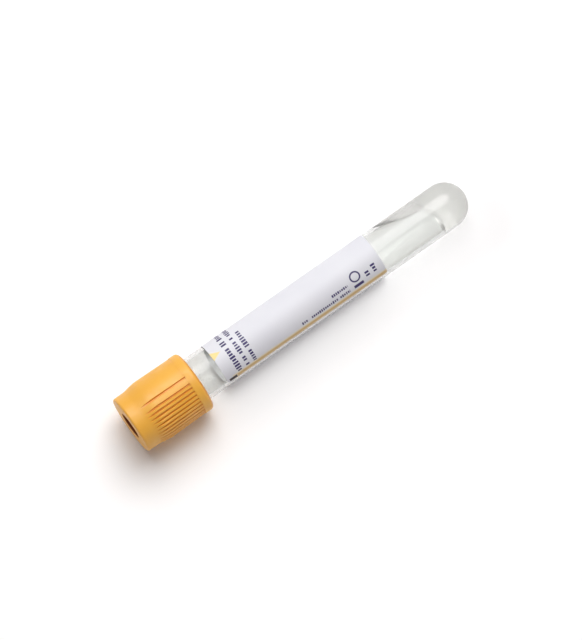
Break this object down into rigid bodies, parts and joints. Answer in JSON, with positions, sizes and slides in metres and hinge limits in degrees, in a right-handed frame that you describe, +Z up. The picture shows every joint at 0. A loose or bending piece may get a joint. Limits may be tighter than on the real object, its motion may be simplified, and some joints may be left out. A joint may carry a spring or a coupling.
{
  "type": "blood collection tube",
  "caption": "Clear round-bottomed blood collection tube with separator gel, a wrap-round paper label and a ribbed push-on closure that holds a rubber stopper.",
  "frame": {"origin": "on the surface that the tube lies on, under the middle of its box", "axes": "+X along the tube towards its round end, +Z up; the axis dips towards +X by the seat angle, and -Y is the side of the label's printed edge"},
  "size_m": [0.1092, 0.0178, 0.0178],
  "materials": {
    "clear_plastic": "gloss",
    "gel": "satin",
    "label_paper": "satin",
    "stopper_rubber": "matte",
    "closure_plastic": "satin"
  },
  "bodies": {
    "tube_body": {"tube": "clear_plastic", "separator_gel": "gel", "label": "label_paper"},
    "closure": {"closure_shield": "closure_plastic", "stopper": "stopper_rubber"}
  },
  "joints": [
    {"name": "closure_pull", "type": "slide", "parent": "tube_body", "child": "closure", "axis": [-0.9996, 0, 0.0269], "range_m": [0, 0.03]}
  ]
}
